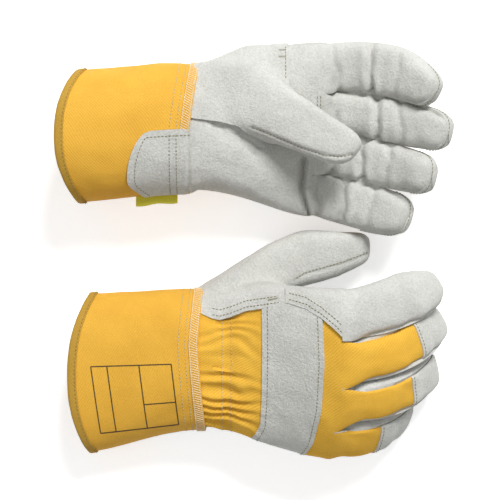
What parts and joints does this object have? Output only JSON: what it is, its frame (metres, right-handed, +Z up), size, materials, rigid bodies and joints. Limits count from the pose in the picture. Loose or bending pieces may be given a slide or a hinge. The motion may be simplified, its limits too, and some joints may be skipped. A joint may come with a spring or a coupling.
{
  "type": "gardening gloves",
  "caption": "Pair of work gloves with suede palms, fabric backs, a strap over the knuckles and stiff open cuffs, one lying palm up and one palm down.",
  "frame": {"origin": "middle of the pair's footprint, on the surface it lies on", "axes": "+X from the cuffs to the fingertips, +Y from the right glove to the left, +Z up"},
  "size_m": [0.253, 0.2718, 0.0795],
  "materials": {
    "suede": "split suede with a short nap",
    "drill": "cotton drill, matt",
    "canvas": "rubberised canvas, matt",
    "binding": "woven tape",
    "overlock": "overlocked thread",
    "thread": "twisted thread",
    "lining": "brushed cotton",
    "elastic": "woven elastic",
    "tab": "woven tape"
  },
  "bodies": {
    "right_hand": {"right_palm_panel": "suede", "right_palm_lining": "lining", "right_thumb_wrap": "suede", "right_index_band": "suede", "right_back_panel": "drill", "right_knuckle_strap": "suede", "right_wrist_elastic": "elastic", "right_hand_stitching": "thread"},
    "right_cuff": {"right_cuff_panel": "canvas", "right_cuff_binding": "binding", "right_cuff_overlock": "overlock", "right_vein_patch": "suede", "right_cuff_stitching": "thread"},
    "right_thumb": {"right_thumb_outer": "suede", "right_thumb_inner": "suede"},
    "right_index": {"right_index_front": "suede", "right_index_back": "suede"},
    "right_middle": {"right_middle_front": "suede", "right_middle_back": "drill", "right_middle_tip": "suede", "right_middle_sides": "suede"},
    "right_ring": {"right_ring_front": "suede", "right_ring_back": "drill", "right_ring_tip": "suede", "right_ring_sides": "suede"},
    "right_little": {"right_little_front": "suede", "right_little_back": "drill", "right_little_tip": "suede", "right_little_sides": "suede"},
    "left_hand": {"left_palm_panel": "suede", "left_palm_lining": "lining", "left_thumb_wrap": "suede", "left_index_band": "suede", "left_back_panel": "drill", "left_knuckle_strap": "suede", "left_wrist_elastic": "elastic", "left_hand_stitching": "thread"},
    "left_cuff": {"left_cuff_panel": "canvas", "left_cuff_binding": "binding", "left_cuff_overlock": "overlock", "left_vein_patch": "suede", "left_cuff_stitching": "thread", "left_label_tab": "tab"},
    "left_thumb": {"left_thumb_outer": "suede", "left_thumb_inner": "suede"},
    "left_index": {"left_index_front": "suede", "left_index_back": "suede"},
    "left_middle": {"left_middle_front": "suede", "left_middle_back": "drill", "left_middle_tip": "suede", "left_middle_sides": "suede"},
    "left_ring": {"left_ring_front": "suede", "left_ring_back": "drill", "left_ring_tip": "suede", "left_ring_sides": "suede"},
    "left_little": {"left_little_front": "suede", "left_little_back": "drill", "left_little_tip": "suede", "left_little_sides": "suede"}
  },
  "joints": [
    {"name": "gloves_apart", "type": "slide", "parent": "right_hand", "child": "left_hand", "axis": [0, 1, 0], "range_m": [0, 0.15]},
    {"name": "right_index_bend", "type": "hinge", "parent": "right_hand", "child": "right_index", "pos_m": [0.0645, -0.04219, 0.0636], "axis": [-0.1736, 0.9467, 0.2714], "range_deg": [-20, 16]},
    {"name": "right_middle_bend", "type": "hinge", "parent": "right_hand", "child": "right_middle", "pos_m": [0.0665, -0.07032, 0.06065], "axis": [-0.0872, 0.9576, 0.2746], "range_deg": [-20, 16]},
    {"name": "right_ring_bend", "type": "hinge", "parent": "right_hand", "child": "right_ring", "pos_m": [0.0645, -0.09627, 0.0532], "axis": [0.0349, 0.9607, 0.2755], "range_deg": [-20, 16]},
    {"name": "right_little_bend", "type": "hinge", "parent": "right_hand", "child": "right_little", "pos_m": [0.0565, -0.11857, 0.04085], "axis": [0.1736, 0.9467, 0.2714], "range_deg": [-20, 16]},
    {"name": "right_thumb_bend", "type": "hinge", "parent": "right_hand", "child": "right_thumb", "pos_m": [-0.0035, -0.0307, 0.02024], "axis": [-0.6428, 0.7198, 0.262], "range_deg": [-15, 20]},
    {"name": "right_wrist_bend", "type": "hinge", "parent": "right_hand", "child": "right_cuff", "pos_m": [-0.0365, -0.0717, 0.02724], "axis": [0, 1, 0], "range_deg": [-10, 10]},
    {"name": "left_index_bend", "type": "hinge", "parent": "left_hand", "child": "left_index", "pos_m": [0.054, 0.11754, 0.02797], "axis": [0.0872, -0.9811, -0.173], "range_deg": [-20, 10]},
    {"name": "left_middle_bend", "type": "hinge", "parent": "left_hand", "child": "left_middle", "pos_m": [0.054, 0.08962, 0.0233], "axis": [-0.0698, -0.9824, -0.1732], "range_deg": [-20, 10]},
    {"name": "left_ring_bend", "type": "hinge", "parent": "left_hand", "child": "left_ring", "pos_m": [0.05, 0.06284, 0.01954], "axis": [-0.1564, -0.9727, -0.1715], "range_deg": [-20, 10]},
    {"name": "left_little_bend", "type": "hinge", "parent": "left_hand", "child": "left_little", "pos_m": [0.043, 0.03741, 0.01709], "axis": [-0.225, -0.9596, -0.1692], "range_deg": [-20, 10]},
    {"name": "left_thumb_bend", "type": "hinge", "parent": "left_hand", "child": "left_thumb", "pos_m": [-0.011, 0.1041, 0.04714], "axis": [-0.2924, -0.9418, -0.1661], "range_deg": [0, 30]},
    {"name": "left_wrist_bend", "type": "hinge", "parent": "left_hand", "child": "left_cuff", "pos_m": [-0.043, 0.0791, 0.03414], "axis": [0, -1, 0], "range_deg": [-10, 10]}
  ]
}
